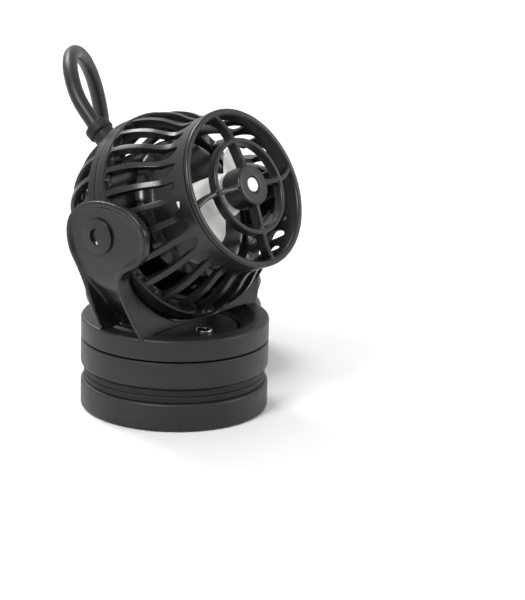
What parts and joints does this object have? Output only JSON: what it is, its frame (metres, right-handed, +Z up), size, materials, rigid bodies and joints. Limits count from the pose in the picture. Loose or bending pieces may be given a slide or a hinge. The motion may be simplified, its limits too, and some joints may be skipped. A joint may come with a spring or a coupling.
{
  "type": "wave maker pump",
  "caption": "Aquarium wave maker pump: a slatted ball with a flared grille nozzle, tilting in a yoke that swivels on a two-part magnet mount, with a power lead.",
  "frame": {"origin": "centre of the underside of the dry magnet housing, on the swivel axis", "axes": "+Z up along the swivel axis, nozzle towards -Y and tilted up at rest, tilt axis along X"},
  "size_m": [0.1295, 0.1241, 0.12],
  "materials": {
    "charcoal_abs": "fine satin moulding texture",
    "yoke_abs": "smooth satin",
    "cage_abs": "smooth satin",
    "grille_abs": "smooth satin, slightly brown",
    "gloss_black": "polished",
    "white_plastic": "satin, faintly green white",
    "ceramic": "ground and polished",
    "rubber": "matt",
    "cord_jacket": "satin extruded jacket",
    "steel": "bright",
    "magnet": "nickel plated",
    "copper": "enamelled wire"
  },
  "bodies": {
    "dry_magnet": {"dry_magnet_housing": "charcoal_abs", "dry_magnet": "magnet", "dry_pad": "rubber"},
    "wet_base": {"wet_pad": "rubber", "wet_magnet_housing": "charcoal_abs", "wet_magnet": "magnet", "retainer_plate": "charcoal_abs", "retainer_screw_1": "steel", "retainer_screw_2": "steel", "retainer_screw_3": "steel"},
    "yoke": {"yoke": "yoke_abs", "pivot_button_left": "yoke_abs", "pivot_button_right": "yoke_abs", "pivot_washer_left": "rubber", "pivot_washer_right": "rubber", "power_cord": "cord_jacket", "cord_coil": "cord_jacket", "cord_connector": "gloss_black"},
    "ball": {"front_cage": "cage_abs", "rear_cage": "cage_abs", "nozzle_grille": "grille_abs", "motor_housing": "gloss_black", "motor_end_cap": "gloss_black", "stator_core": "steel", "stator_winding_1": "copper", "stator_winding_2": "copper", "stator_winding_3": "copper", "stator_winding_4": "copper", "stator_winding_5": "copper", "stator_winding_6": "copper", "shaft": "ceramic", "rear_bushing": "rubber", "front_washer": "white_plastic", "cable_gland": "rubber", "internal_lead": "cord_jacket"},
    "rotor": {"rotor_magnet": "magnet", "rotor_sleeve": "white_plastic", "propeller": "white_plastic"}
  },
  "joints": [
    {"name": "glass_gap", "type": "slide", "parent": "dry_magnet", "child": "wet_base", "axis": [0, 0, 1], "range_m": [0, 0.012]},
    {"name": "swivel", "type": "hinge", "parent": "wet_base", "child": "yoke", "pos_m": [0, 0, 0.0257], "axis": [0, 0, 1], "continuous": true},
    {"name": "tilt", "type": "hinge", "parent": "yoke", "child": "ball", "pos_m": [0, 0.0012, 0.0697], "axis": [-1, 0, 0], "range_deg": [-36, 25]},
    {"name": "rotor_spin", "type": "hinge", "parent": "ball", "child": "rotor", "pos_m": [0, 0.0012, 0.0697], "axis": [0, -0.8988, 0.4384], "continuous": true}
  ]
}
